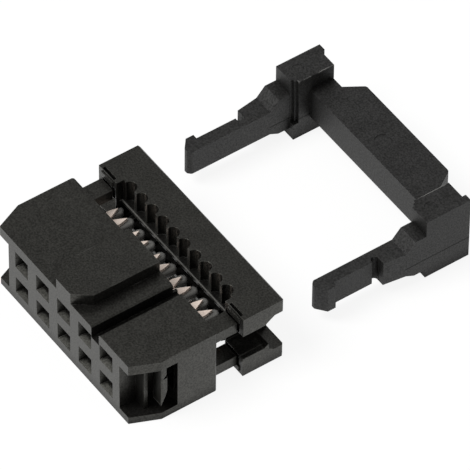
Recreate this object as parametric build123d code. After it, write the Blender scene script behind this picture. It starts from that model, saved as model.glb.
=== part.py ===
from build123d import *
import os

# Ribbon cable socket: a moulded body with two rows of stamped fork contacts, a press-on cover
# and a separate strain relief. Millimetres. The origin is the centre of the mating face,
# +Y runs from the mating face towards the cover, +X along the row and +Z towards the key.

# Contact grid
pitch = 2.54
column_count = 5
wire_pitch = pitch / 2

# Socket body
body_length = 17.23
body_height = 5.80
body_depth = 6.65
block_length = 13.32
front_length = 15.42
front_chamfer_depth = 2.10
top_lip = 0.87
bottom_lip = 0.63
pocket_depth = 3.40
end_wall = 0.46
corner_radius = 0.20

# Upright rib and hanging hook in each end pocket
inner_rib_width = 1.02
inner_rib_front = 1.30
inner_rib_thickness = 0.30
outer_rib_width = 0.97
outer_rib_front = 2.05
outer_rib_root = 0.44
outer_rib_depth = 0.64
outer_rib_round = 0.15
hook_notch_top = 1.38
hook_notch_bottom = 1.02
hook_notch_depth = 0.35
hook_root_wall = 0.15
hook_belly = 0.20
hook_taper = 0.30
hook_toe = -1.55

# Pin cavities and contact chambers
entry_width = 1.53
entry_throat = 1.10
entry_taper_depth = 0.45
entry_wall = 0.80
chamber_width = 1.20

# Key and slot on the top face
key_width = 3.70
key_nose_width = 1.70
key_flare_depth = 1.25
key_height = 0.98
key_rear_gap = 0.05
slot_width = 0.90
slot_centre = 3.79
slot_depth = 1.05
slot_edge = 0.12

# Neck and comb behind the body
ledge_height = 4.20
ledge_depth = 0.40
neck_length = 16.14
neck_plate_width = 1.37
neck_plate_thickness = 0.90
neck_plate_reach = 1.95
channel_height = 2.60
comb_thickness = 0.70
comb_reach = 2.55
tooth_width = 0.76
tooth_round = 0.22

# Contacts
strip_thickness = 0.24
strip_width = 1.00
strip_clearance = 0.01
fork_base_width = 1.44
fork_tip_width = 1.12
fork_gap = 0.15
fork_start_gap = 0.05
fork_web = 0.25
fork_slot_length = 0.40
fork_tine_length = 1.65
fork_shoulder_drop = 0.65
box_front = 4.20
box_rear = 6.00
beam_root = 3.70
beam_peak = 2.00
beam_front = 1.20
beam_gap = 0.54
beam_mouth = 1.10
box_wall = 0.20

# Cover
cover_length = 17.22
cover_height = 5.70
cover_depth = 3.36
cover_gap = 2.10
cover_recess_length = 13.00
cover_recess_depth = 0.62
groove_radius = 0.50
pocket_height = 1.36
pocket_floor = 0.76
pillar_width = 0.40
pillar_height = 0.33
wire_bar_height = 0.30
wire_bar_reach = 0.19
end_channel_height = 2.30
end_channel_inset = 2.01
end_channel_flare = 0.55
flare_start = 1.80
flare_end = 2.60
catch_start = 1.80
catch_depth = 0.34
catch_height = 0.25
catch_inset = 1.50
guide_clearance = 0.10
guide_depth = 2.00
guide_lip_length = 1.36
guide_lip_start = 6.87
guide_lip_height = 0.45
guide_lip_reach = 0.09
guide_lip_wall = 0.06
guide_groove_width = 0.22
guide_groove_floor = 0.14
cover_edge = 0.12

# Strain relief, in its own frame: Y from the front of its end blocks, Z from its resting side
relief_shift_x = -0.58
relief_shift_y = 24.19
relief_block_gap = 13.46
relief_block_width = 2.17
relief_block_depth = 3.40
relief_block_height = 5.57
relief_step = 0.22
relief_step_height = 4.10
relief_nub_width = 0.60
relief_nub_reach = 0.30
bar_height = 2.68
bar_bottom = 1.49
bar_front = 1.43
bar_back_wide = 11.56
bar_back_narrow = 9.70
bar_back_reach = 1.45
bar_corner_radius = 0.30
arm_inner_gap = 14.40
arm_thickness = 0.92
arm_height = 2.21
arm_bottom = 1.15
arm_length = 8.50
arm_thick_part = 1.45
arm_thick_length = 3.40
arm_head_out = 0.38
arm_head_length = 1.26
arm_head_radius = 0.20
arm_head_flat = 0.65
arm_groove_radius = 0.28
arm_groove_sink = 0.10
root_height = 3.38
root_bottom = 0.78
root_foot = 1.65
root_top = 0.93
pin_mark_depth = 0.03
block_mark_radius = 0.45
block_mark_inset = 1.10
block_mark_place = 1.10
bar_mark_radius = 0.62
bar_mark_place = 2.75

# Worked out from the dimensions above
row_height = pitch / 2
resting_side = -body_height / 2
cover_front = body_depth + cover_gap
ledge_rear = body_depth + ledge_depth
first_column = -(column_count - 1) / 2 * pitch
comb_half = comb_thickness / 2


def block(x0, x1, y0, y1, z0, z1):
    """A box between its low and high faces."""
    return Pos((x0 + x1) / 2, (y0 + y1) / 2, (z0 + z1) / 2) * Box(x1 - x0, y1 - y0, z1 - z0)


def plan(points, z0, z1):
    """An outline seen from above, raised from z0 to z1."""
    return Pos(0, 0, z0) * extrude(make_face(Polyline(*points, close=True)), amount=z1 - z0)


def side_profile(points, x0, x1):
    """An outline in Y and Z, drawn out from x0 to x1."""
    return extrude(Plane.YZ.offset(x0) * make_face(Polyline(*points, close=True)), amount=x1 - x0)


def both_ends(shape):
    """The shape and its mirror image at the other end of the row."""
    return shape + mirror(shape, about=Plane.YZ)


def both_sides(shape):
    """The shape and its mirror image below the middle plane."""
    return shape + mirror(shape, about=Plane.XY)


def columns():
    """The X place of each contact column."""
    return [first_column + pitch * i for i in range(column_count)]


def shell_outline():
    """The body's outline from above, with its chamfered front corners."""
    half_front = front_length / 2
    half = body_length / 2
    return [
        (-half_front, 0), (half_front, 0), (half, front_chamfer_depth), (half, body_depth),
        (-half, body_depth), (-half, front_chamfer_depth),
    ]


def pin_entry(x, z):
    """A square pin entry that tapers in from the mating face."""
    mouth = Plane(origin=(x, 0, z), x_dir=(1, 0, 0), z_dir=(0, 1, 0))
    throat = mouth.offset(entry_taper_depth)
    funnel = loft([mouth * Rectangle(entry_width, entry_width), throat * Rectangle(entry_throat, entry_throat)])
    half = entry_throat / 2
    return funnel + block(x - half, x + half, entry_taper_depth, entry_wall, z - half, z + half)


def chamber(x):
    """The chamber of one top contact, open at the rear."""
    half = chamber_width / 2
    top = 2 * row_height - comb_half
    return block(x - half, x + half, entry_wall, ledge_rear + 1, comb_half, top)


def cavities():
    """All pin entries and contact chambers."""
    shape = None
    for x in columns():
        cavity = pin_entry(x, row_height) + chamber(x)
        shape = cavity if shape is None else shape + cavity
    return both_sides(shape)


def end_pocket():
    """The open pocket and the latch channel at the right end of the body."""
    inner = block_length / 2
    outer = body_length / 2
    low = resting_side + bottom_lip
    high = body_height / 2 - top_lip
    half_channel = channel_height / 2
    pocket = block(inner, outer + 1, -1, pocket_depth, low, high)
    return pocket + block(inner, outer - end_wall, pocket_depth - 0.1, body_depth + 1, -half_channel, half_channel)


def pocket_ribs():
    """The upright rib and the hanging hook in the right end pocket."""
    inner = block_length / 2
    outer = body_length / 2
    low = resting_side + bottom_lip
    high = body_height / 2 - top_lip
    first = block(inner, inner + inner_rib_width, inner_rib_front, inner_rib_front + inner_rib_thickness, low, high)
    front = outer_rib_front
    root = outer_rib_front + outer_rib_root
    rear = outer_rib_front + outer_rib_depth
    edge = outer - outer_rib_width
    start = outer - (front_chamfer_depth - front) / front_chamfer_depth * (body_length - front_length) / 2
    round_start = rear - outer_rib_round
    outline = [
        (edge, front), (start, front), (outer, front_chamfer_depth), (outer, round_start),
        (outer - outer_rib_round, rear), (edge, rear),
    ]
    side = [
        (front, high), (root, high), (root, hook_notch_top), (rear, hook_notch_bottom), (rear, hook_belly),
        (rear - hook_taper, hook_toe / 2), (front, hook_toe),
    ]
    hook = plan(outline, hook_toe, high) & side_profile(side, edge, outer)
    notch = [(front + hook_root_wall, hook_notch_bottom), (rear + 1, hook_notch_bottom), (root, hook_notch_top)]
    return first + hook - side_profile(notch, outer - hook_notch_depth, outer + 1)


def key():
    """The polarising key on the top face, with its pointed front."""
    half = key_width / 2
    nose = key_nose_width / 2
    rear = body_depth - key_rear_gap
    top = body_height / 2
    outline = [(-nose, 0), (nose, 0), (half, key_flare_depth), (half, rear), (-half, rear), (-half, key_flare_depth)]
    return plan(outline, top - 0.1, top + key_height)


def slot():
    """The slot in the top face beside the key, with chamfered edges."""
    half = slot_width / 2
    top = body_height / 2
    floor = top - slot_depth
    rear = ledge_rear + 1
    groove = block(slot_centre - half, slot_centre + half, -1, rear, floor, top + 1)
    wide = half + slot_edge
    edge = [(-wide, top), (wide, top), (half, top - slot_edge), (-half, top - slot_edge)]
    outline = make_face(Polyline(*edge, close=True))
    bevel = Plane(origin=(slot_centre, rear, 0), x_dir=(1, 0, 0), z_dir=(0, -1, 0)) * outline
    return groove + extrude(bevel, amount=rear + 1)


def neck():
    """The ledge and the four guide plates that the cover slides on."""
    half = ledge_height / 2
    inner = cover_recess_length / 2 - guide_clearance
    ledge = block(-inner, inner, body_depth - 0.1, ledge_rear, -half, half)
    outer = neck_length / 2
    plate_rear = body_depth + neck_plate_reach
    plate = block(outer - neck_plate_width, outer, body_depth - 0.1, plate_rear, half - neck_plate_thickness, half)
    return ledge + both_ends(both_sides(plate))


def comb():
    """The row of round-nosed teeth that spaces the wires."""
    radius = tooth_width / 2
    tip = body_depth + comb_reach - radius
    start = body_depth - 0.1
    plate = Pos(0, (start + tip) / 2) * Rectangle(tooth_width, tip - start) + Pos(0, tip) * Circle(radius)
    tooth = Pos(0, 0, -comb_half) * extrude(plate, amount=comb_thickness)
    tooth = fillet(tooth.edges().filter_by(GeomType.CIRCLE), tooth_round)
    teeth = None
    for i in range(2 * column_count + 1):
        placed = Pos(first_column + wire_pitch * (i - 1), 0, 0) * tooth
        teeth = placed if teeth is None else teeth + placed
    half = cover_recess_length / 2 - guide_clearance
    return teeth & block(-half, half, 0, tip + radius + 1, -comb_half, comb_half)


def socket_body():
    """The moulded body."""
    shell = plan(shell_outline(), resting_side, body_height / 2)
    rear_corners = shell.edges().filter_by(Axis.Z).filter_by_position(Axis.Y, body_depth - 0.1, body_depth + 0.1)
    shell = fillet(rear_corners, corner_radius)
    shell = shell - both_ends(end_pocket()) + both_ends(pocket_ribs())
    shell = shell + neck() + key()
    return shell - cavities() - slot() + comb()


def fork_outline():
    """The fork's plan about its own centre line, from the back of the ledge to its two points."""
    start = ledge_rear + fork_start_gap
    base = fork_base_width / 2
    tip = fork_tip_width / 2
    gap = fork_gap / 2
    point = start + fork_tine_length
    slot_floor = start + fork_web
    vee = slot_floor + fork_slot_length
    right = [
        (base, start), (base, point - fork_shoulder_drop), (tip, point), (gap, vee), (gap, slot_floor),
    ]
    left = [(-x, y) for x, y in reversed(right)]
    return right + left


def strip_path(path):
    """The outline of a bent strip from its centre line in Y and Z."""
    half = strip_thickness / 2
    return [(y, z - half) for y, z in path] + [(y, z + half) for y, z in reversed(path)]


def contact(x):
    """One top contact: fork, base strip, box and two spring beams."""
    low = comb_half + strip_clearance
    mid = low + strip_thickness / 2
    half = strip_width / 2
    fork = Pos(x - wire_pitch / 2, 0, low) * extrude(
        make_face(Polyline(*fork_outline(), close=True)), amount=strip_thickness)
    tail = ledge_rear + fork_start_gap + fork_web
    base = block(x - half, x + half, box_front, tail, low, low + strip_thickness)
    peak = row_height - beam_gap / 2 - strip_thickness / 2
    mouth = row_height - beam_mouth / 2 - strip_thickness / 2
    path = [(box_front + 0.1, mid), (beam_root, mid), (beam_peak, peak), (beam_front, mouth)]
    beam = side_profile(strip_path(path), x - half, x + half)
    roof_low = 2 * row_height - low - strip_thickness
    roof = block(x - half, x + half, box_front, box_rear, roof_low, roof_low + strip_thickness)
    upper_beam = mirror(beam, about=Plane.XY.offset(row_height))
    wall = block(x + half - box_wall, x + half, box_front, box_rear, low, roof_low + strip_thickness)
    return fork + base + beam + roof + upper_beam + wall


def cable_grooves():
    """Half-round wire grooves across the cover's front."""
    crest = cover_front + cover_recess_depth
    shape = None
    for i in range(2 * column_count):
        x = first_column + wire_pitch * (i - 0.5)
        groove = Pos(x, crest, 0) * Cylinder(groove_radius, cover_height + 1)
        shape = groove if shape is None else shape + groove
    return shape


def cover_pillars():
    """Small pillars in the cover's middle pocket, between the forks of each row."""
    crest = cover_front + cover_recess_depth
    rear = cover_front + cover_depth - pocket_floor + 0.1
    half = pillar_width / 2
    roof = pocket_height / 2
    shape = None
    for x in columns():
        middle = x + wire_pitch / 2
        pillar = block(middle - half, middle + half, crest, rear, roof - pillar_height, roof + 0.1)
        shape = pillar if shape is None else shape + pillar
    return shape + mirror(mirror(shape, about=Plane.XY), about=Plane.YZ)


def cover_end_channel():
    """The latch channel at the cover's right end, wider towards the rear."""
    half = end_channel_height / 2
    wide = half + end_channel_flare
    front = cover_front - 1
    rear = cover_front + cover_depth + 1
    start = cover_front + flare_start
    end = cover_front + flare_end
    outline = [
        (front, -half), (start, -half), (end, -wide), (rear, -wide),
        (rear, wide), (end, wide), (start, half), (front, half),
    ]
    outer = cover_length / 2
    return side_profile(outline, outer - end_channel_inset, outer + 1)


def cover_guides():
    """The guide pockets that the right neck plates run in."""
    plate_top = ledge_height / 2
    outer = neck_length / 2 + guide_clearance
    inner = neck_length / 2 - neck_plate_width - guide_clearance
    low = plate_top - neck_plate_thickness - guide_clearance
    pocket = block(inner, outer, cover_front - 1, cover_front + guide_depth, low, plate_top + guide_clearance)
    return both_sides(pocket)


def guide_lip():
    """The thin lip over each neck plate."""
    low = ledge_height / 2 + guide_clearance
    end = guide_lip_start + guide_lip_length
    lip = block(guide_lip_start, end, cover_front - guide_lip_reach, cover_front + 0.1, low, low + guide_lip_height)
    return both_sides(lip)


def guide_groove():
    """The narrow groove behind each lip, open at the cover's top."""
    front = cover_front + guide_lip_wall
    floor = ledge_height / 2 + guide_clearance + guide_groove_floor
    end = guide_lip_start + guide_lip_length
    return both_sides(block(guide_lip_start, end, front, front + guide_groove_width, floor, cover_height))


def wire_bar():
    """The thin bar across the grooves, at the edge of the middle pocket."""
    half = cover_recess_length / 2
    crest = cover_front + cover_recess_depth
    low = pocket_height / 2
    bar = block(-half, half, crest - wire_bar_reach, crest + groove_radius + 0.1, low, low + wire_bar_height)
    return both_sides(bar)


def arm_catch():
    """The low ramp across the lower wall of the right latch channel."""
    floor = -end_channel_height / 2
    front = cover_front + catch_start
    rear = front + catch_depth
    ramp = [(front - 0.1, floor - 0.2), (front, floor), (rear, floor + catch_height), (rear, floor - 0.2)]
    outer = cover_length / 2
    return side_profile(ramp, outer - catch_inset, outer)


def cover():
    """The press-on cover."""
    half = cover_length / 2
    high = cover_height / 2
    rear = cover_front + cover_depth
    shape = block(-half, half, cover_front, rear, -high, high)
    shape = chamfer(shape.faces().sort_by(Axis.Y)[-1].edges(), cover_edge)
    recess = cover_recess_length / 2
    crest = cover_front + cover_recess_depth
    shape = shape - block(-recess, recess, cover_front - 1, crest, -high - 1, high + 1)
    shape = shape - cable_grooves()
    roof = pocket_height / 2
    shape = shape - block(-recess, recess, crest - 0.1, rear - pocket_floor, -roof, roof)
    shape = shape + cover_pillars() + wire_bar()
    shape = shape - both_ends(cover_end_channel() + cover_guides())
    shape = shape + both_ends(guide_lip() + arm_catch())
    return shape - both_ends(guide_groove())


def relief_arm():
    """The right latch arm, with its round hooked tip and its thick root."""
    inner = arm_inner_gap / 2
    outer = inner + arm_thickness
    thick = inner + arm_thick_part
    head = outer + arm_head_out
    tip = -arm_length
    shoulder = tip + arm_head_length
    side = relief_block_gap / 2 + relief_block_width
    outline = [
        (inner, 0.1), (inner, tip + 0.25), (inner + 0.25, tip), (inner + 0.55, tip),
        (head, shoulder - arm_head_flat), (head, shoulder), (outer, shoulder),
        (outer, -arm_thick_length), (thick, -arm_thick_length), (side, -root_foot), (side, 0.1),
    ]
    arm = plan(outline, arm_bottom, arm_bottom + arm_height)
    nose = arm.edges().filter_by(Axis.Z).filter_by_position(Axis.Y, tip - 0.1, tip + 0.3)
    arm = fillet(nose, arm_head_radius)
    groove = Pos(outer - arm_groove_sink, -arm_thick_length - arm_groove_radius, arm_bottom + arm_height / 2)
    arm = arm - groove * Cylinder(arm_groove_radius, arm_height + 1)
    low = arm_bottom
    high = arm_bottom + arm_height
    root_high = root_bottom + root_height
    root = [
        (-root_foot, low), (-root_top, root_bottom), (0.1, root_bottom),
        (0.1, root_high), (-root_top, root_high), (-root_foot, high),
    ]
    return arm + side_profile(root, inner, side)


def relief_block():
    """The right end block, with its stepped front corner and its rear nub."""
    inner = relief_block_gap / 2
    outer = inner + relief_block_width
    depth = relief_block_depth
    shape = block(inner, outer, 0, depth, 0, relief_block_height)
    low = relief_block_height - relief_step_height
    for count in (1, 2):
        reach = relief_step * count
        cut = block(inner - 1, inner + relief_step * (3 - count), -1, reach, low, relief_block_height + 1)
        shape = shape - cut
    nub = block(outer - relief_nub_width, outer, depth - 0.1, depth + relief_nub_reach, 0, relief_block_height)
    return shape + nub


def relief_bar():
    """The cross bar, with its narrower back."""
    half = relief_block_gap / 2 + 0.1
    wide = bar_back_wide / 2
    narrow = bar_back_narrow / 2
    back = relief_block_depth
    rear = back + bar_back_reach
    outline = [
        (-half, bar_front), (half, bar_front), (half, back), (wide, back),
        (narrow, rear), (-narrow, rear), (-wide, back), (-half, back),
    ]
    bar = plan(outline, bar_bottom, bar_bottom + bar_height)
    corners = bar.edges().filter_by(Axis.Z).filter_by_position(Axis.Y, rear - 0.01, rear + 0.01)
    return fillet(corners, bar_corner_radius)


def pin_mark(x, y, top, radius):
    """The shallow round mark that an ejector pin leaves in a top face."""
    return Pos(x, y, top) * Cylinder(radius, 2 * pin_mark_depth)


def strain_relief():
    """The strain relief, lying behind the cover on the same resting side."""
    shape = relief_bar() + both_ends(relief_block() + relief_arm())
    block_middle = relief_block_gap / 2 + block_mark_inset
    shape = shape - both_ends(pin_mark(block_middle, block_mark_place, relief_block_height, block_mark_radius))
    shape = shape - pin_mark(0, bar_mark_place, bar_bottom + bar_height, bar_mark_radius)
    return Pos(relief_shift_x, relief_shift_y, resting_side) * shape


os.makedirs("parts", exist_ok=True)
export_step(socket_body(), "parts/socket_body.step")
export_step(cover(), "parts/cover.step")
export_step(strain_relief(), "parts/strain_relief.step")
for number, place in enumerate(columns(), start=1):
    top_contact = contact(place)
    export_step(top_contact, f"parts/contact_top_{number}.step")
    # The bottom row is the top row turned half round about the Y axis
    bottom_contact = Rot(0, 180, 0) * contact(-place)
    export_step(bottom_contact, f"parts/contact_bottom_{number}.step")
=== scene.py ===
from itertools import product
from math import cos, pi, radians, sin

import bmesh
import bpy
from bpy.props import FloatProperty, FloatVectorProperty, IntProperty, PointerProperty
from mathutils import Matrix, Vector


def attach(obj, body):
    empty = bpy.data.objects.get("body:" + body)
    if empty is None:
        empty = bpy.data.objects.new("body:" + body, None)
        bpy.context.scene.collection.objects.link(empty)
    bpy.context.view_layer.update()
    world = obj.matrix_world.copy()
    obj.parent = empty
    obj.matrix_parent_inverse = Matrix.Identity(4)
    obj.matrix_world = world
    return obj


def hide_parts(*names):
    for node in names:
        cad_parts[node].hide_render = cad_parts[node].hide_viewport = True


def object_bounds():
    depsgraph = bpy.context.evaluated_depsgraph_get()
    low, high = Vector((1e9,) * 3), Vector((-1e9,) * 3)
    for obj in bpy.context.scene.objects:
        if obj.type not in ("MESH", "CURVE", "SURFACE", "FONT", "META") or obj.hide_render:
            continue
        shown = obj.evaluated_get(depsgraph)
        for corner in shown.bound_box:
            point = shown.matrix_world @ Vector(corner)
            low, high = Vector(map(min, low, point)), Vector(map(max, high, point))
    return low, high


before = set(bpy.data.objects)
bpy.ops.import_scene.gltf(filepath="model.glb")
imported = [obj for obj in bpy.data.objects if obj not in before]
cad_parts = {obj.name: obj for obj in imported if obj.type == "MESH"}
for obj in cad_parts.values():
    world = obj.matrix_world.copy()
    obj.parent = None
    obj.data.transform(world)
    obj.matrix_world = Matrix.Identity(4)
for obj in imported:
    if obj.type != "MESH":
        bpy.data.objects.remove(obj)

bl_info = {
    "name": "Ribbon Cable Socket Connector",
    "version": (1, 0, 0),
    "blender": (4, 5, 0),
    "location": "View3D > Sidebar > Socket Connector",
    "description": "Builds a ribbon cable socket connector with its cover, contacts and strain relief",
    "category": "Object",
}

CAD_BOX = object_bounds()
MILLIMETRE = 0.001


# Fixed values of the meshes

MERGE_DISTANCE = 0.001 * MILLIMETRE
SAME_PLACE = 0.01 * MILLIMETRE

# Fixed values of the looks. A range is where a mask starts and ends, a spread the two factors it gives.

GRAIN_DETAIL = 3.0
GRAIN_ROUGHNESS = 0.6
MOTTLE_DETAIL = 4.0
EDGE_SAMPLES = 6
# The cavity values shape a painted shade that dims the shine in grooves and corners.
CAVITY_SAMPLES = 8
OPEN_RANGE = (0.3, 0.85)
CAVITY_FLOOR = 0.12
# These values shape the rubbed edges, which are partly a painted edge highlight.
SCUFF_AND_HIGHLIGHT_START = 0.88
SCUFF_AND_HIGHLIGHT_GAIN = 7.0
SCUFF_AND_HIGHLIGHT_FADE = 0.1
SPECK_RANGE = (0.42, 0.68)
PALEST_SPECK = 0.02
ROUGH_RANGE = (0.25, 0.75)
ROUGH_STEP = 0.02
GLOSS_RANGE = (0.35, 0.65)
GLOSS_SPREAD = (0.62, 1.38)
HANDLED_RANGE = (0.3, 0.7)
HANDLED_SPREAD = (0.88, 1.12)
SEAM_SHADE = 0.35
PLASTIC_BUMP = 0.6
PLASTIC_IOR = 1.5
# The wear keys give the rubbed edges, which are partly a painted edge highlight.
SOCKET_LOOK = {"level": 0.51, "tint": (1.0, 0.99, 0.88), "wear_and_highlight": 0.15, "wear_and_highlight_start": 0.5}
RELIEF_LOOK = {"level": 0.45, "tint": (1.0, 1.0, 0.99), "wear_and_highlight": 1.0, "wear_and_highlight_start": 0.43}
STRIP_STRETCH = (1.0, 0.15, 1.0)
# Gain of the painted highlight along the contacts' sheared edges.
ALLOY_EDGE_HIGHLIGHT_GAIN = 3.0
ALLOY_CLEAN_RANGE = (0.3, 0.55)
ALLOY_ROUGHEST = 0.12
ALLOY_SMOOTHEST = -0.05
ALLOY_BUMP = 0.5
ALLOY_METALLIC = 0.38
BUMP_DISTANCE = 1.0  # the grain's height is in metres already
PAPER_ROUGHNESS = 0.9
PAPER_FIBRE = 0.97
PAPER_GLOW = 1.03
PAPER_GLOW_SHARE = 0.85
SENSOR_WIDTH = 36.0  # millimetres, as the focal length is
VIEW_START = 0.01
VIEW_END = 10.0


# Settings


def length_setting(name, description, millimetres, **limits):
    """A length whose default is given in millimetres."""
    return FloatProperty(
        name=name,
        description=description,
        default=millimetres * MILLIMETRE,
        precision=6,
        unit="LENGTH",
        **limits,
    )


def angle_setting(name, description, degrees):
    """An angle whose default is given in degrees."""
    return FloatProperty(name=name, description=description, default=radians(degrees), subtype="ANGLE")


def factor_setting(name, description, default):
    """A value from 0 to 1."""
    return FloatProperty(
        name=name, description=description, default=default, min=0.0, max=1.0, subtype="FACTOR"
    )


def colour_setting(name, description, default):
    """A colour."""
    return FloatVectorProperty(
        name=name, description=description, default=default, min=0.0, max=1.0, subtype="COLOR"
    )


def point_setting(name, description, millimetres):
    """A point whose default is given in millimetres."""
    return FloatVectorProperty(
        name=name,
        description=description,
        default=tuple(value * MILLIMETRE for value in millimetres),
        precision=6,
        subtype="TRANSLATION",
    )


def corner_setting(side, thing, millimetres):
    """The near or the far corner of a box round a thing, as distances from the middle planes."""
    description = f"{side} corner of the box round the {thing}"
    return point_setting(f"{side} corner, {thing}", description, millimetres)


class MouldedShellSettings(bpy.types.PropertyGroup):
    """The black plastic pieces."""

    edge_radius: length_setting("Edge radius", "Rounding of the moulded edges", 0.03, min=0.0)
    cover_edge_radius: length_setting("Cover edge radius", "Rounding of the cover's edges", 0.07, min=0.0)
    sharp_angle: angle_setting("Sharp angle", "Edges that turn by more than this stay crisp", 35)
    colour: colour_setting("Plastic colour", "Colour of the moulded plastic", (0.0045, 0.0043, 0.004))
    # The worn colour is real wear and also a painted edge highlight on the rubbed edges.
    worn_and_highlight_colour: colour_setting("Worn colour", "Colour of the rubbed edges", (0.25, 0.245, 0.235))
    # Painted light: the comb's teeth get a paler colour for the light that their rounded ends catch.
    comb_painted_light_colour: colour_setting("Comb colour", "Paler plastic of the comb's teeth", (0.13, 0.128, 0.122))
    # Painted highlight: a pale strip along the foot of the cover's comb, for the light that its edge catches.
    foot_painted_highlight_colour: colour_setting("Foot colour", "Paler foot of the cover's comb", (0.075, 0.074, 0.07))
    # The box of the painted light on the comb's teeth.
    comb_low: corner_setting("Near", "teeth of the comb", (-1.0, 6.75, -1.0))
    comb_high: corner_setting("Far", "teeth of the comb", (6.6, 9.5, 0.36))
    # The box of the painted highlight strip on the cover's comb.
    foot_low: corner_setting("Near", "foot of the cover's comb", (-1.0, 9.0, 0.9))
    foot_high: corner_setting("Far", "foot of the cover's comb", (6.6, 9.27, 1.0))
    relief_middle: point_setting(
        "Relief middle", "Point of the strain relief that its boxes are measured from", (-0.58, 0.0, -1.05)
    )
    # The rubbed edges of the strain relief, partly a painted edge highlight, stay inside this box.
    rim_low: corner_setting("Near", "rubbed edges of the strain relief", (6.6, 24.1, 3.6))
    rim_high: corner_setting("Far", "rubbed edges of the strain relief", (6.95, 27.7, 3.85))
    seam_low: corner_setting("Near", "parting line of the strain relief", (6.7, 22.5, -1.0))
    seam_high: corner_setting("Far", "parting line of the strain relief", (9.1, 31.0, 0.055))
    roughness: factor_setting("Roughness", "Roughness of the socket body and the cover", 0.32)
    relief_roughness: factor_setting("Relief roughness", "Roughness of the strain relief", 0.54)
    # The band of the rubbed edges, partly a painted edge highlight.
    scuff_and_highlight_width: length_setting("Scuff width", "Width of the rubbed band along an edge", 0.2, min=0.0)
    # Painted shade: the shine is dimmed in grooves this wide.
    cavity_reach: length_setting("Cavity reach", "Width of the grooves that stay dark", 1.8, min=0.0)
    grain_size: length_setting("Grain size", "Width of one grain of the mould", 0.13, min=0.01 * MILLIMETRE)
    grain_depth: length_setting("Grain depth", "Height of the grain", 0.006, min=0.0)
    mottle_size: length_setting("Mottle size", "Width of the slow change of tone", 1.5, min=0.01 * MILLIMETRE)


class CoverGuideSettings(bpy.types.PropertyGroup):
    """The thin floors of the cover's guide pockets, and the feet of its catches."""

    inner: length_setting("Inner end", "Distance of a floor's inner end from the middle", 6.55)
    outer: length_setting("Outer end", "Distance of a floor's outer end from the middle", 8.25)
    front: length_setting("Front", "Place of a floor's front edge", 8.76)
    rear: length_setting("Rear", "Place of a floor's rear edge", 10.80)
    level: length_setting("Level", "Distance of a floor's bearing side from mid-height", 1.15)
    thickness: length_setting("Thickness", "Thickness of a floor", 0.06)
    catch_level: length_setting("Catch foot", "Height of the foot of each catch", -1.35)
    catch_front: length_setting("Catch front", "Place of the front of that foot in the solid", 10.45)
    catch_clear: length_setting("Catch clear", "Place of that front, clear of the pressed plates", 10.54)


class ContactSettings(bpy.types.PropertyGroup):
    """The stamped contacts."""

    columns: IntProperty(name="Columns", description="Contacts in each row", default=5, min=1)
    pitch: length_setting("Pitch", "Distance from one contact to the next", 2.54)
    edge_radius: length_setting("Edge radius", "Rounding left by stamping", 0.025, min=0.0)
    sharp_angle: angle_setting("Sharp angle", "Edges that turn by more than this stay crisp", 35)
    colour: colour_setting("Alloy colour", "Colour of the copper alloy", (1.0, 0.86, 0.76))
    dull_colour: colour_setting("Dull colour", "Alloy dulled by the stamping", (0.86, 0.68, 0.57))
    roughness: factor_setting("Roughness", "Roughness of the stamped metal", 0.5)
    grain_size: length_setting("Grain size", "Width of one grain of the strip", 0.05, min=0.01 * MILLIMETRE)
    grain_depth: length_setting("Grain depth", "Height of the grain", 0.0015, min=0.0)
    mottle_size: length_setting("Mottle size", "Width of the dulled patches", 0.6, min=0.01 * MILLIMETRE)


class StageSettings(bpy.types.PropertyGroup):
    """The floor, the light and the camera."""

    floor_level: FloatProperty(
        name="Floor level",
        description="Height of the floor",
        default=CAD_BOX[0].z,
        precision=6,
        unit="LENGTH",
    )
    floor_size: length_setting("Floor size", "Side of the square floor", 3000)
    floor_colour: colour_setting("Floor colour", "Colour of the floor", (0.82, 0.82, 0.81))
    fibre_size: length_setting("Fibre size", "Width of the paper's fibres", 0.4, min=0.01 * MILLIMETRE)
    sky_strength: FloatProperty(
        name="Sky strength", description="Level of the light all round", default=0.6, min=0.0
    )
    lamp_place: point_setting("Lamp place", "Place of the lamp", (-150, -380, 620))
    lamp_aim: point_setting("Lamp aim", "Point that the lamp faces", (0, 12, 0))
    lamp_size: length_setting("Lamp size", "Side of the square lamp", 350, min=0.0)
    lamp_power: FloatProperty(
        name="Lamp power", description="Power of the lamp in watts", default=5.0, min=0.0
    )
    azimuth: angle_setting("Azimuth", "Way the camera looks, from +Y", 54.56)
    elevation: angle_setting("Elevation", "Height of the camera above the horizon", 47.83)
    roll: angle_setting("Roll", "Turn of the camera about its view", 0.64)
    distance: length_setting("Distance", "Distance of the camera from its aim", 498.4)
    aim: point_setting("Aim", "Point that the camera looks at", (2.9707, 12.0001, 4.2105))
    lens: FloatProperty(name="Lens", description="Focal length in millimetres", default=565.3, min=1.0)


class SocketConnectorSettings(bpy.types.PropertyGroup):
    """All settings of the socket connector."""

    shell: PointerProperty(type=MouldedShellSettings)
    guide: PointerProperty(type=CoverGuideSettings)
    contact: PointerProperty(type=ContactSettings)
    stage: PointerProperty(type=StageSettings)


# Nodes


def link(tree, source, output, target, socket):
    """Joins two nodes of a tree."""
    tree.links.new(source.outputs[output], target.inputs[socket])


def math_node(tree, operation, first=None, second=None):
    """A math node with its constant values set."""
    node = tree.nodes.new("ShaderNodeMath")
    node.operation = operation
    for socket, value in zip(node.inputs, (first, second)):
        if value is not None:
            socket.default_value = value
    return node


def joined_math(tree, operation, *sources, clamp=False):
    """A math node of several outputs, each given as a node and its output."""
    node = math_node(tree, operation)
    node.use_clamp = clamp
    for index, (source, output) in enumerate(sources):
        link(tree, source, output, node, index)
    return node


def vector_math(tree, operation, *sources):
    """A vector math node of several outputs, each given as a node and its output."""
    node = tree.nodes.new("ShaderNodeVectorMath")
    node.operation = operation
    for index, (source, output) in enumerate(sources):
        link(tree, source, output, node, index)
    return node


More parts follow.
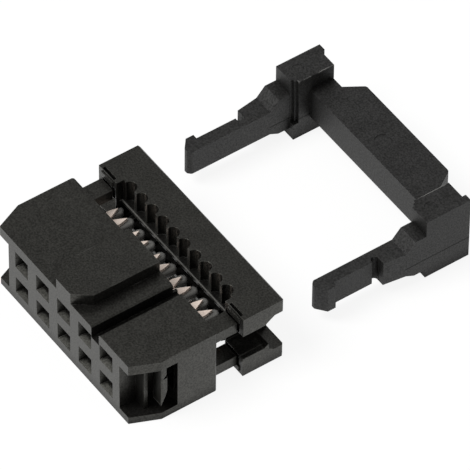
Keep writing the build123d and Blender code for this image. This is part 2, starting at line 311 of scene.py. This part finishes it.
def remap(tree, source, output, taken=(0.0, 1.0), given=(0.0, 1.0)):
    """An output taken from one range to another, and kept inside it."""
    node = tree.nodes.new("ShaderNodeMapRange")
    for label, value in zip(("From Min", "From Max", "To Min", "To Max"), (*taken, *given)):
        node.inputs[label].default_value = value
    link(tree, source, output, node, "Value")
    return node


def colour_mix(tree, **colours):
    """A mix of the colours A and B."""
    node = tree.nodes.new("ShaderNodeMix")
    node.data_type = "RGBA"
    for label, colour in colours.items():
        node.inputs[label].default_value = (*colour, 1)
    return node


# Shader groups


def new_group(name, inputs, outputs):
    """An empty shader group with float, colour and vector sockets."""
    group = bpy.data.node_groups.new(name, "ShaderNodeTree")
    for label, kind, value in inputs:
        socket = group.interface.new_socket(name=label, in_out="INPUT", socket_type=kind)
        if value is not None:
            socket.default_value = value
    for label, kind in outputs:
        group.interface.new_socket(name=label, in_out="OUTPUT", socket_type=kind)
    return group, group.nodes.new("NodeGroupInput"), group.nodes.new("NodeGroupOutput")


def noise(group, start, size, detail):
    """Noise on the group's vector, with the width of its patches in a socket of the group."""
    frequency = math_node(group, "DIVIDE", first=1.0)
    link(group, start, size, frequency, 1)
    texture = group.nodes.new("ShaderNodeTexNoise")
    texture.inputs["Detail"].default_value = detail
    link(group, start, "Vector", texture, "Vector")
    link(group, frequency, 0, texture, "Scale")
    return texture


def grain_group():
    """Fine grain of a surface: a height in metres, and a slow mottle and fine specks from 0 to 1."""
    if "surface_grain" in bpy.data.node_groups:
        return bpy.data.node_groups["surface_grain"]
    group, start, end = new_group(
        "surface_grain",
        [
            ("Vector", "NodeSocketVector", None),
            ("Grain Size", "NodeSocketFloat", 0.0002),
            ("Depth", "NodeSocketFloat", 0.000005),
            ("Mottle Size", "NodeSocketFloat", 0.003),
        ],
        [("Height", "NodeSocketFloat"), ("Mottle", "NodeSocketFloat"), ("Speck", "NodeSocketFloat")],
    )
    fine = noise(group, start, "Grain Size", GRAIN_DETAIL)
    fine.inputs["Roughness"].default_value = GRAIN_ROUGHNESS
    height = joined_math(group, "MULTIPLY", (fine, "Fac"), (start, "Depth"))
    slow = noise(group, start, "Mottle Size", MOTTLE_DETAIL)
    link(group, height, 0, end, "Height")
    link(group, slow, "Fac", end, "Mottle")
    link(group, fine, "Fac", end, "Speck")
    return group


def edge_group():
    """Rounded edges: a normal that turns over each edge, and a mask of the normals turned past Start."""
    if "soft_edges" in bpy.data.node_groups:
        return bpy.data.node_groups["soft_edges"]
    group, start, end = new_group(
        "soft_edges",
        [
            ("Radius", "NodeSocketFloat", 0.00006),
            ("Start", "NodeSocketFloat", 1.0),
            ("Gain", "NodeSocketFloat", 4.0),
        ],
        [("Normal", "NodeSocketVector"), ("Edge", "NodeSocketFloat")],
    )
    rounded = group.nodes.new("ShaderNodeBevel")
    rounded.samples = EDGE_SAMPLES
    link(group, start, "Radius", rounded, "Radius")
    link(group, rounded, "Normal", end, "Normal")
    flat = group.nodes.new("ShaderNodeNewGeometry")
    turn = vector_math(group, "DOT_PRODUCT", (rounded, "Normal"), (flat, "Normal"))
    away = joined_math(group, "SUBTRACT", (start, "Start"), (turn, "Value"))
    mask = joined_math(group, "MULTIPLY", (away, 0), (start, "Gain"), clamp=True)
    link(group, mask, 0, end, "Edge")
    return group


def cavity_group():
    """A mask that is 1 on open faces and falls to Depth in grooves and corners, a painted shade that dims the
    shine.
    """
    if "painted_cavity_shade" in bpy.data.node_groups:
        return bpy.data.node_groups["painted_cavity_shade"]
    group, start, end = new_group(
        "painted_cavity_shade",
        [("Reach", "NodeSocketFloat", 0.0015), ("Depth", "NodeSocketFloat", 0.3)],
        [("Open", "NodeSocketFloat")],
    )
    nearby = group.nodes.new("ShaderNodeAmbientOcclusion")
    nearby.samples = CAVITY_SAMPLES
    link(group, start, "Reach", nearby, "Distance")
    fall = remap(group, nearby, "AO", taken=OPEN_RANGE)
    link(group, start, "Depth", fall, "To Min")
    link(group, fall, "Result", end, "Open")
    return group


def box_group():
    """A mask that is 1 inside a box and its mirror images about the middle planes."""
    if "inside_box" in bpy.data.node_groups:
        return bpy.data.node_groups["inside_box"]
    group, start, end = new_group(
        "inside_box",
        [(label, "NodeSocketVector", None) for label in ("Vector", "Low", "High")],
        [("Inside", "NodeSocketFloat")],
    )
    folded = vector_math(group, "ABSOLUTE", (start, "Vector"))
    above = vector_math(group, "SUBTRACT", (folded, "Vector"), (start, "Low"))
    below = vector_math(group, "SUBTRACT", (start, "High"), (folded, "Vector"))
    least = vector_math(group, "MINIMUM", (above, "Vector"), (below, "Vector"))
    parts = group.nodes.new("ShaderNodeSeparateXYZ")
    link(group, least, "Vector", parts, 0)
    pair = joined_math(group, "MINIMUM", (parts, "X"), (parts, "Y"))
    nearest = joined_math(group, "MINIMUM", (pair, 0), (parts, "Z"))
    inside = math_node(group, "GREATER_THAN", second=0.0)
    link(group, nearest, 0, inside, 0)
    link(group, inside, 0, end, "Inside")
    return group


def place_group(tree, group, **values):
    """A group node with its own values."""
    node = tree.nodes.new("ShaderNodeGroup")
    node.node_tree = group
    for label, value in values.items():
        node.inputs[label.replace("_", " ")].default_value = value
    return node


# Materials


def new_material(name):
    """An empty material with its output, its shader and its object coordinates."""
    material = bpy.data.materials.new(name)
    material.use_nodes = True
    tree = material.node_tree
    tree.nodes.clear()
    output = tree.nodes.new("ShaderNodeOutputMaterial")
    shader = tree.nodes.new("ShaderNodeBsdfPrincipled")
    link(tree, shader, "BSDF", output, "Surface")
    place = tree.nodes.new("ShaderNodeTexCoord")
    return material, tree, shader, place


def sized_grain(tree, look):
    """The grain of a surface in the sizes of its settings."""
    return place_group(
        tree, grain_group(), Grain_Size=look.grain_size, Depth=look.grain_depth, Mottle_Size=look.mottle_size
    )


def grained_edges(tree, shader, grain, edges, strength):
    """Lays the grain over the rounded edges of a shader."""
    bump = tree.nodes.new("ShaderNodeBump")
    bump.inputs["Strength"].default_value = strength
    bump.inputs["Distance"].default_value = BUMP_DISTANCE
    link(tree, grain, "Height", bump, "Height")
    link(tree, edges, "Normal", bump, "Normal")
    link(tree, bump, "Normal", shader, "Normal")


def scuffs_and_edge_highlights(tree, grain, width, amount, start):
    """A mask of the edges that are rubbed pale, partly a painted edge highlight, in short stretches where the
    mottle passes start.
    """
    edges = place_group(tree, edge_group(), Radius=width, Start=SCUFF_AND_HIGHLIGHT_START, Gain=SCUFF_AND_HIGHLIGHT_GAIN)
    stretch = remap(tree, grain, "Mottle", (start, start + SCUFF_AND_HIGHLIGHT_FADE), (0.0, amount))
    return joined_math(tree, "MULTIPLY", (edges, "Edge"), (stretch, "Result"))


def in_box(tree, source, output, low, high):
    """The mask of a box on a vector."""
    mask = place_group(tree, box_group(), Low=low, High=high)
    link(tree, source, output, mask, "Vector")
    return mask


def painted_comb_light(tree, place, colour, cavity, low, high, pale):
    """The colour and the openness of a plastic whose comb, inside a box, gets painted light: a paler colour
    and no painted cavity shade.
    """
    inside = in_box(tree, place, "Object", low, high)
    paler = colour_mix(tree, B=pale)
    link(tree, inside, "Inside", paler, "Factor")
    link(tree, colour, "Result", paler, "A")
    lit = joined_math(tree, "MAXIMUM", (cavity, 0), (inside, "Inside"))
    return paler, lit


def relief_marks(tree, place, rubbed, cavity):
    """The rubbed edges, partly a painted edge highlight, kept to the inner top edges of the end blocks, and
    the openness, a painted shade in grooves, with a dark parting line.
    """
    look = bpy.context.scene.socket_connector.shell
    centred = vector_math(tree, "SUBTRACT", (place, "Object"))
    centred.inputs[1].default_value = look.relief_middle
    # The rubbed edges, partly a painted edge highlight, are kept inside the rim box.
    rim = in_box(tree, centred, "Vector", look.rim_low, look.rim_high)
    kept = joined_math(tree, "MULTIPLY", (rubbed, 0), (rim, "Inside"))
    seam = in_box(tree, centred, "Vector", look.seam_low, look.seam_high)
    shade = remap(tree, seam, "Inside", given=(1.0, SEAM_SHADE))
    parted = joined_math(tree, "MULTIPLY", (cavity, 0), (shade, "Result"))
    return kept, parted


def plastic_shine(tree, grain, cavity, level):
    """The shine of a plastic: it sparkles with the grain, changes slowly and is dimmed by painted shade in
    the grooves.
    """
    gloss = remap(tree, grain, "Speck", GLOSS_RANGE, [share * level for share in GLOSS_SPREAD])
    handled = remap(tree, grain, "Mottle", HANDLED_RANGE, HANDLED_SPREAD)
    open_shine = joined_math(tree, "MULTIPLY", (gloss, "Result"), (cavity, 0))
    return joined_math(tree, "MULTIPLY", (open_shine, 0), (handled, "Result"))


def moulded_plastic(name, edge_radius, roughness, level, tint, wear_and_highlight, wear_and_highlight_start, comb=None):
    """Black moulded plastic with a fine mould grain, a painted shade that dims the shine in grooves, and
    rubbed edges that are partly a painted edge highlight.

    comb is the box and the colour of the painted light on a comb. A plastic without one is that of the strain
    relief.
    """
    if name in bpy.data.materials:
        return bpy.data.materials[name]
    look = bpy.context.scene.socket_connector.shell
    material, tree, shader, place = new_material(name)
    grain = sized_grain(tree, look)
    link(tree, place, "Object", grain, "Vector")
    colour = colour_mix(tree, A=look.colour, B=look.worn_and_highlight_colour)
    # Rubbed edges, partly a painted edge highlight.
    rubbed = scuffs_and_edge_highlights(tree, grain, look.scuff_and_highlight_width, wear_and_highlight, wear_and_highlight_start)
    # Painted shade: the shine is dimmed in grooves and corners.
    cavity = place_group(tree, cavity_group(), Reach=look.cavity_reach, Depth=CAVITY_FLOOR)
    base = colour
    # Painted light on the comb: a paler colour, and no painted shade inside its box.
    if comb:
        base, cavity = painted_comb_light(tree, place, colour, cavity, *comb)
    else:
        rubbed, cavity = relief_marks(tree, place, rubbed, cavity)
    speck = remap(tree, grain, "Speck", SPECK_RANGE, (0.0, PALEST_SPECK))
    pale = joined_math(tree, "ADD", (rubbed, 0), (speck, "Result"), clamp=True)
    link(tree, pale, 0, colour, "Factor")
    link(tree, base, "Result", shader, "Base Color")
    rough = remap(tree, grain, "Mottle", ROUGH_RANGE, (roughness - ROUGH_STEP, roughness + ROUGH_STEP))
    link(tree, rough, "Result", shader, "Roughness")
    edges = place_group(tree, edge_group(), Radius=edge_radius)
    grained_edges(tree, shader, grain, edges, PLASTIC_BUMP)
    link(tree, plastic_shine(tree, grain, cavity, level), 0, shader, "Specular IOR Level")
    shader.inputs["Specular Tint"].default_value = (*tint, 1)
    shader.inputs["IOR"].default_value = PLASTIC_IOR
    return material


def socket_plastic():
    """The slightly warm plastic of the socket body, with painted light that makes the comb's teeth paler."""
    look = bpy.context.scene.socket_connector.shell
    comb = (look.comb_low, look.comb_high, look.comb_painted_light_colour)
    return moulded_plastic("socket_plastic", look.edge_radius, look.roughness, **SOCKET_LOOK, comb=comb)


def cover_plastic():
    """The same plastic on the cover, whose edges are rounder and whose comb's foot has a painted highlight
    strip.
    """
    look = bpy.context.scene.socket_connector.shell
    comb = (look.foot_low, look.foot_high, look.foot_painted_highlight_colour)
    return moulded_plastic("cover_plastic", look.cover_edge_radius, look.roughness, **SOCKET_LOOK, comb=comb)


def relief_plastic():
    """The duller plastic of the strain relief, rubbed pale along the top edges of its blocks, partly as a
    painted edge highlight.
    """
    look = bpy.context.scene.socket_connector.shell
    return moulded_plastic("relief_plastic", look.edge_radius, look.relief_roughness, **RELIEF_LOOK)


def copper_alloy():
    """Stamped copper alloy, with a painted highlight along its sheared edges."""
    if "copper_alloy" in bpy.data.materials:
        return bpy.data.materials["copper_alloy"]
    look = bpy.context.scene.socket_connector.contact
    material, tree, shader, place = new_material("copper_alloy")
    stretch = tree.nodes.new("ShaderNodeMapping")
    stretch.inputs["Scale"].default_value = STRIP_STRETCH
    link(tree, place, "Object", stretch, "Vector")
    grain = sized_grain(tree, look)
    link(tree, stretch, "Vector", grain, "Vector")
    edges = place_group(tree, edge_group(), Radius=look.edge_radius, Gain=ALLOY_EDGE_HIGHLIGHT_GAIN)
    colour = colour_mix(tree, A=look.dull_colour, B=look.colour)
    clean = remap(tree, grain, "Mottle", ALLOY_CLEAN_RANGE)
    # Cleaner patches of the alloy, and a painted highlight along the sheared edges.
    clean_and_highlit = joined_math(tree, "MAXIMUM", (clean, "Result"), (edges, "Edge"))
    link(tree, clean_and_highlit, 0, colour, "Factor")
    link(tree, colour, "Result", shader, "Base Color")
    given = (look.roughness + ALLOY_ROUGHEST, look.roughness + ALLOY_SMOOTHEST)
    rough = remap(tree, grain, "Mottle", given=given)
    link(tree, rough, "Result", shader, "Roughness")
    grained_edges(tree, shader, grain, edges, ALLOY_BUMP)
    shader.inputs["Metallic"].default_value = ALLOY_METALLIC
    return material


# Meshes


def merged_copy(node, name):
    """A new object from the solid of one node, with its triangles joined at their corners."""
    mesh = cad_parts[node].data.copy()
    mesh.name = name
    mesh.materials.clear()
    bm = bmesh.new()
    bm.from_mesh(mesh)
    bmesh.ops.remove_doubles(bm, verts=bm.verts, dist=MERGE_DISTANCE)
    bm.to_mesh(mesh)
    bm.free()
    if mesh.attributes.get("custom_normal"):
        mesh.attributes.remove(mesh.attributes["custom_normal"])
    piece = bpy.data.objects.new(name, mesh)
    bpy.context.scene.collection.objects.link(piece)
    return piece


def smooth_by_angle(mesh, angle):
    """Smooth shading with the sharp edges kept."""
    mesh.polygons.foreach_set("use_smooth", [True] * len(mesh.polygons))
    mesh.set_sharp_from_angle(angle=angle)
    mesh.update()


def add_block(mesh, low, high):
    """Adds a closed block between two corners to a mesh."""
    bm = bmesh.new()
    bm.from_mesh(mesh)
    place = Matrix.Translation((low + high) / 2) @ Matrix.Diagonal((*(high - low), 1.0))
    bmesh.ops.create_cube(bm, size=1.0, matrix=place)
    bm.to_mesh(mesh)
    bm.free()


def guide_floors(mesh, guide):
    """Adds the thin floors under the four guide pockets of the cover."""
    for x, z in product((-1, 1), repeat=2):
        corners = [
            Vector((x * guide.inner, guide.front, z * guide.level)),
            Vector((x * guide.outer, guide.rear, z * (guide.level - guide.thickness))),
        ]
        low = Vector(min(pair) for pair in zip(*corners))
        high = Vector(max(pair) for pair in zip(*corners))
        add_block(mesh, low, high)


def clear_catches(mesh, guide):
    """Draws the foot of each catch back from the neck plates."""
    for vertex in mesh.vertices:
        at_front = abs(vertex.co.y - guide.catch_front) < SAME_PLACE
        if at_front and abs(vertex.co.z - guide.catch_level) < SAME_PLACE:
            vertex.co.y = guide.catch_clear


def moulded_shell(node, name, body, material):
    """One black moulded piece in place of its solid."""
    look = bpy.context.scene.socket_connector.shell
    shell = merged_copy(node, name)
    smooth_by_angle(shell.data, look.sharp_angle)
    shell.data.materials.append(material)
    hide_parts(node)
    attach(shell, body)
    return shell


def contact_rows_tree():
    """Repeats one contact along its row, and the row again half a turn round."""
    tree = bpy.data.node_groups.new("contact_rows", "GeometryNodeTree")
    kinds = {"Geometry": "Geometry", "Columns": "Int", "Pitch": "Float", "Material": "Material"}
    inputs = {}
    for label, kind in kinds.items():
        socket = tree.interface.new_socket(name=label, in_out="INPUT", socket_type=f"NodeSocket{kind}")
        inputs[label] = socket.identifier
    tree.interface.new_socket(name="Geometry", in_out="OUTPUT", socket_type="NodeSocketGeometry")
    start = tree.nodes.new("NodeGroupInput")
    end = tree.nodes.new("NodeGroupOutput")
    last = math_node(tree, "SUBTRACT", second=1.0)
    link(tree, start, "Columns", last, 0)
    span = joined_math(tree, "MULTIPLY", (last, 0), (start, "Pitch"))
    half = math_node(tree, "MULTIPLY", second=-0.5)
    link(tree, span, 0, half, 0)
    first = tree.nodes.new("ShaderNodeCombineXYZ")
    link(tree, half, 0, first, "X")
    step = tree.nodes.new("ShaderNodeCombineXYZ")
    link(tree, start, "Pitch", step, "X")
    line = tree.nodes.new("GeometryNodeMeshLine")
    line.mode = "OFFSET"
    link(tree, start, "Columns", line, "Count")
    link(tree, first, "Vector", line, "Start Location")
    link(tree, step, "Vector", line, "Offset")
    row = tree.nodes.new("GeometryNodeInstanceOnPoints")
    link(tree, line, "Mesh", row, "Points")
    link(tree, start, "Geometry", row, "Instance")
    turned = tree.nodes.new("GeometryNodeTransform")
    turned.inputs["Rotation"].default_value = (0.0, pi, 0.0)
    link(tree, row, "Instances", turned, "Geometry")
    joined = tree.nodes.new("GeometryNodeJoinGeometry")
    link(tree, row, "Instances", joined, "Geometry")
    link(tree, turned, "Geometry", joined, "Geometry")
    real = tree.nodes.new("GeometryNodeRealizeInstances")
    link(tree, joined, "Geometry", real, "Geometry")
    finish = tree.nodes.new("GeometryNodeSetMaterial")
    link(tree, real, "Geometry", finish, "Geometry")
    link(tree, start, "Material", finish, "Material")
    link(tree, finish, "Geometry", end, "Geometry")
    return tree, inputs


def plain_mesh(source, name):
    """The evaluated mesh of an object as a new plain object, and the source removed."""
    bpy.context.view_layer.update()
    graph = bpy.context.evaluated_depsgraph_get()
    mesh = bpy.data.meshes.new_from_object(source.evaluated_get(graph))
    mesh.name = name
    used = source.data
    source.modifiers.clear()
    bpy.data.objects.remove(source)
    bpy.data.meshes.remove(used)
    piece = bpy.data.objects.new(name, mesh)
    bpy.context.scene.collection.objects.link(piece)
    return piece


# Stage


def seen_white(tree):
    """A value that is 1 for the rays that see the white background."""
    path = tree.nodes.new("ShaderNodeLightPath")
    seen = joined_math(tree, "MAXIMUM", (path, "Is Camera Ray"), (path, "Is Glossy Ray"))
    return joined_math(tree, "MAXIMUM", (seen, 0), (path, "Is Transmission Ray"))


def floor_paper(settings):
    """Pale paper that is white to the camera and keeps a soft shadow."""
    material, tree, shader, place = new_material("floor_paper")
    shader.inputs["Roughness"].default_value = PAPER_ROUGHNESS
    shader.inputs["Specular IOR Level"].default_value = 0.0
    fibre = place_group(tree, grain_group(), Grain_Size=settings.fibre_size)
    link(tree, place, "Object", fibre, "Vector")
    shaded = [PAPER_FIBRE * value for value in settings.floor_colour]
    tone = colour_mix(tree, A=settings.floor_colour, B=shaded)
    link(tree, fibre, "Speck", tone, "Factor")
    link(tree, tone, "Result", shader, "Base Color")
    white = tree.nodes.new("ShaderNodeEmission")
    white.inputs["Strength"].default_value = PAPER_GLOW
    share = math_node(tree, "MULTIPLY", second=PAPER_GLOW_SHARE)
    link(tree, seen_white(tree), 0, share, 0)
    blend = tree.nodes.new("ShaderNodeMixShader")
    link(tree, share, 0, blend, 0)
    link(tree, shader, "BSDF", blend, 1)
    link(tree, white, "Emission", blend, 2)
    output = next(node for node in tree.nodes if node.type == "OUTPUT_MATERIAL")
    link(tree, blend, "Shader", output, "Surface")
    return material


def make_floor(settings):
    """The floor under the object."""
    half = settings.floor_size / 2
    mesh = bpy.data.meshes.new("floor")
    corners = [(-half, -half), (half, -half), (half, half), (-half, half)]
    mesh.from_pydata([(x, y, settings.floor_level) for x, y in corners], [], [(0, 1, 2, 3)])
    mesh.materials.append(floor_paper(settings))
    floor = bpy.data.objects.new("floor", mesh)
    bpy.context.scene.collection.objects.link(floor)


def make_sky(settings):
    """Even light all round, white behind the object."""
    world = bpy.data.worlds.new("studio")
    bpy.context.scene.world = world
    world.use_nodes = True
    tree = world.node_tree
    tree.nodes.clear()
    output = tree.nodes.new("ShaderNodeOutputWorld")
    sky = tree.nodes.new("ShaderNodeBackground")
    path = tree.nodes.new("ShaderNodeLightPath")
    strength = remap(tree, path, "Is Camera Ray", given=(settings.sky_strength, 1.0))
    link(tree, strength, "Result", sky, "Strength")
    link(tree, sky, "Background", output, "Surface")


def make_lamp(settings):
    """One soft square lamp at the front left, facing the object."""
    light = bpy.data.lights.new("key_lamp", "AREA")
    light.shape = "SQUARE"
    light.size = settings.lamp_size
    light.energy = settings.lamp_power
    lamp = bpy.data.objects.new("key_lamp", light)
    place = Vector(settings.lamp_place)
    turn = (place - Vector(settings.lamp_aim)).to_track_quat("Z", "Y").to_matrix().to_4x4()
    lamp.matrix_world = Matrix.Translation(place) @ turn
    bpy.context.scene.collection.objects.link(lamp)


def make_camera(settings):
    """The camera at the angle of the photograph."""
    azimuth, elevation, roll = settings.azimuth, settings.elevation, settings.roll
    flat = cos(elevation)
    ahead = Vector((-sin(azimuth) * flat, cos(azimuth) * flat, -sin(elevation)))
    level = Vector((cos(azimuth), sin(azimuth), 0.0))
    upright = level.cross(ahead)
    right = level * cos(roll) + upright * sin(roll)
    up = -level * sin(roll) + upright * cos(roll)
    turn = Matrix((right, up, -ahead)).transposed().to_4x4()
    lens = bpy.data.cameras.new("camera")
    lens.sensor_width = SENSOR_WIDTH
    lens.lens = settings.lens
    lens.clip_start = VIEW_START
    lens.clip_end = VIEW_END
    camera = bpy.data.objects.new("camera", lens)
    camera.matrix_world = Matrix.Translation(Vector(settings.aim) - ahead * settings.distance) @ turn
    bpy.context.scene.collection.objects.link(camera)
    bpy.context.scene.camera = camera


# Operators


class CONNECTOR_OT_socket_shell(bpy.types.Operator):
    """The moulded body of the socket with its key, comb and end pockets"""

    bl_idname = "connector.socket_shell"
    bl_label = "Socket Body"

    def execute(self, context):
        moulded_shell("socket_body", "socket_shell", "connector", socket_plastic())
        return {"FINISHED"}


class CONNECTOR_OT_press_cover(bpy.types.Operator):
    """The cover that presses the ribbon onto the contacts"""

    bl_idname = "connector.press_cover"
    bl_label = "Press Cover"

    def execute(self, context):
        shell = moulded_shell("cover", "press_cover_shell", "press_cover", cover_plastic())
        guide = context.scene.socket_connector.guide
        guide_floors(shell.data, guide)
        clear_catches(shell.data, guide)
        return {"FINISHED"}


class CONNECTOR_OT_strain_relief(bpy.types.Operator):
    """The strain relief clip with its two latch arms"""

    bl_idname = "connector.strain_relief"
    bl_label = "Strain Relief"

    def execute(self, context):
        moulded_shell("strain_relief", "strain_relief_clip", "connector", relief_plastic())
        return {"FINISHED"}


class CONNECTOR_OT_contact_rows(bpy.types.Operator):
    """The two rows of stamped contacts with forked rear ends"""

    bl_idname = "connector.contact_rows"
    bl_label = "Contacts"

    def execute(self, context):
        look = context.scene.socket_connector.contact
        middle = (look.columns + 1) // 2
        source = merged_copy(f"contact_top_{middle}", "contact_pattern")
        smooth_by_angle(source.data, look.sharp_angle)
        tree, inputs = contact_rows_tree()
        rows = source.modifiers.new("rows", "NODES")
        rows.node_group = tree
        rows[inputs["Columns"]] = look.columns
        rows[inputs["Pitch"]] = look.pitch
        rows[inputs["Material"]] = copper_alloy()
        contacts = plain_mesh(source, "contacts")
        nodes = [f"contact_{row}_{i + 1}" for row in ("top", "bottom") for i in range(look.columns)]
        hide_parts(*nodes)
        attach(contacts, "connector")
        return {"FINISHED"}


class CONNECTOR_OT_stage(bpy.types.Operator):
    """The floor, the light and the camera"""

    bl_idname = "connector.stage"
    bl_label = "Stage"

    def execute(self, context):
        settings = context.scene.socket_connector.stage
        make_floor(settings)
        make_sky(settings)
        make_lamp(settings)
        make_camera(settings)
        context.scene.view_settings.view_transform = "Standard"
        return {"FINISHED"}


# Panel


class CONNECTOR_PT_pieces(bpy.types.Panel):
    """The pieces of the socket connector"""

    bl_idname = "CONNECTOR_PT_pieces"
    bl_label = "Socket Connector"
    bl_space_type = "VIEW_3D"
    bl_region_type = "UI"
    bl_category = "Socket Connector"

    def draw(self, context):
        column = self.layout.column()
        for operator in OPERATORS:
            column.operator(operator.bl_idname)
        settings = context.scene.socket_connector
        for group in (settings.shell, settings.guide, settings.contact, settings.stage):
            box = self.layout.box()
            for name in group.__annotations__:
                box.prop(group, name)


OPERATORS = (
    CONNECTOR_OT_socket_shell,
    CONNECTOR_OT_press_cover,
    CONNECTOR_OT_strain_relief,
    CONNECTOR_OT_contact_rows,
    CONNECTOR_OT_stage,
)
CLASSES = (
    MouldedShellSettings,
    CoverGuideSettings,
    ContactSettings,
    StageSettings,
    SocketConnectorSettings,
    *OPERATORS,
    CONNECTOR_PT_pieces,
)


def register():
    """Registers the classes and the settings."""
    for cls in CLASSES:
        bpy.utils.register_class(cls)
    bpy.types.Scene.socket_connector = PointerProperty(type=SocketConnectorSettings)


def unregister():
    """Removes the settings and the classes."""
    del bpy.types.Scene.socket_connector
    for cls in reversed(CLASSES):
        bpy.utils.unregister_class(cls)


def main():
    """Builds every piece and the stage."""
    register()
    bpy.ops.connector.socket_shell()
    bpy.ops.connector.press_cover()
    bpy.ops.connector.strain_relief()
    bpy.ops.connector.contact_rows()
    bpy.ops.connector.stage()


if __name__ == "__main__":
    main()
